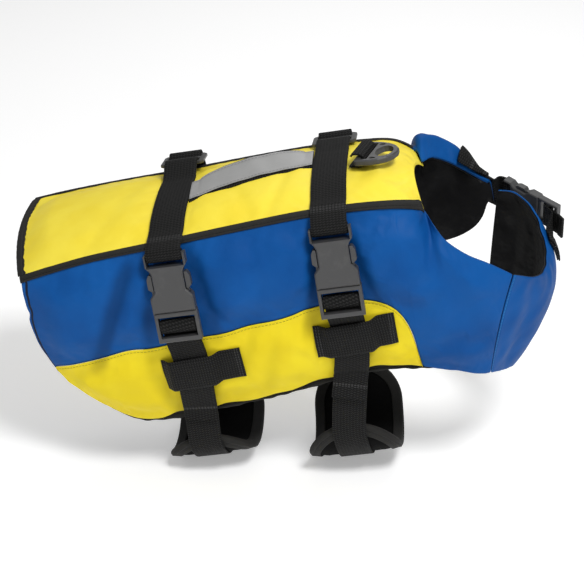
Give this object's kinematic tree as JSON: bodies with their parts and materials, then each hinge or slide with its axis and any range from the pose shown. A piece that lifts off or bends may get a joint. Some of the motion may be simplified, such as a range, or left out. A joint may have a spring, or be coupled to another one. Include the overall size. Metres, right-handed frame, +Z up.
{
  "type": "dog life jacket",
  "caption": "Padded flotation vest for a dog, filled out with no wearer, with a lifting handle, a D-ring, girth straps with buckles over belly pads, and a neck closure.",
  "frame": {"origin": "inner face of the back panel on its middle line, midway between the two girth straps, where the wearer's back carries the vest", "axes": "+X towards the wearer's head, +Y to the wearer's left, +Z up; the vest's nose points up by 10 degrees, as pictured"},
  "size_m": [0.4082, 0.1649, 0.2573],
  "materials": {
    "lemon_cloth": "woven nylon, foam filled",
    "yellow_cloth": "woven nylon, foam filled",
    "blue_cloth": "woven nylon",
    "black_tape": "grosgrain binding",
    "webbing": "ribbed nylon webbing",
    "black_plastic": "satin moulded",
    "lining": "smooth coated nylon",
    "reflective_tape": "grey reflective tape",
    "pad_cloth": "soft knit over foam"
  },
  "bodies": {
    "vest": {"back_panel": "lemon_cloth", "side_panel_right": "blue_cloth", "side_panel_left": "blue_cloth", "lower_panel_right": "yellow_cloth", "lower_panel_left": "yellow_cloth", "chest_panel": "blue_cloth", "chest_lining": "lining", "flap_lining": "lining", "seam_tape_right": "black_tape", "seam_tape_left": "black_tape", "rear_binding": "black_tape", "hem_facing_right": "black_tape", "hem_facing_left": "black_tape", "buckle_rear_socket": "black_plastic", "buckle_rear_plug": "black_plastic", "buckle_front_socket": "black_plastic", "buckle_front_plug": "black_plastic", "slider_rear": "black_plastic", "slider_front": "black_plastic", "belly_pad_rear": "pad_cloth", "belly_pad_front": "pad_cloth", "girth_strap_rear_upper": "webbing", "girth_strap_rear_belly": "webbing", "girth_strap_rear_near": "webbing", "girth_strap_front_upper": "webbing", "girth_strap_front_belly": "webbing", "girth_strap_front_near": "webbing", "keeper_rear_near": "webbing", "keeper_rear_far": "webbing", "keeper_front_near": "webbing", "keeper_front_far": "webbing", "handle": "webbing", "handle_tape": "reflective_tape", "ring_loop": "webbing", "neck_buckle_socket": "black_plastic", "neck_buckle_plug": "black_plastic", "neck_strap": "webbing", "neck_patch": "webbing", "neck_strap_front": "webbing", "neck_tab": "webbing"},
    "d_ring": {"d_ring": "black_plastic"}
  },
  "joints": [
    {"name": "ring_lift", "type": "hinge", "parent": "vest", "child": "d_ring", "pos_m": [0.0768, -0.00545, 0.02916], "axis": [-0.3043, -0.9511, -0.0537], "range_deg": [0, 100]}
  ]
}
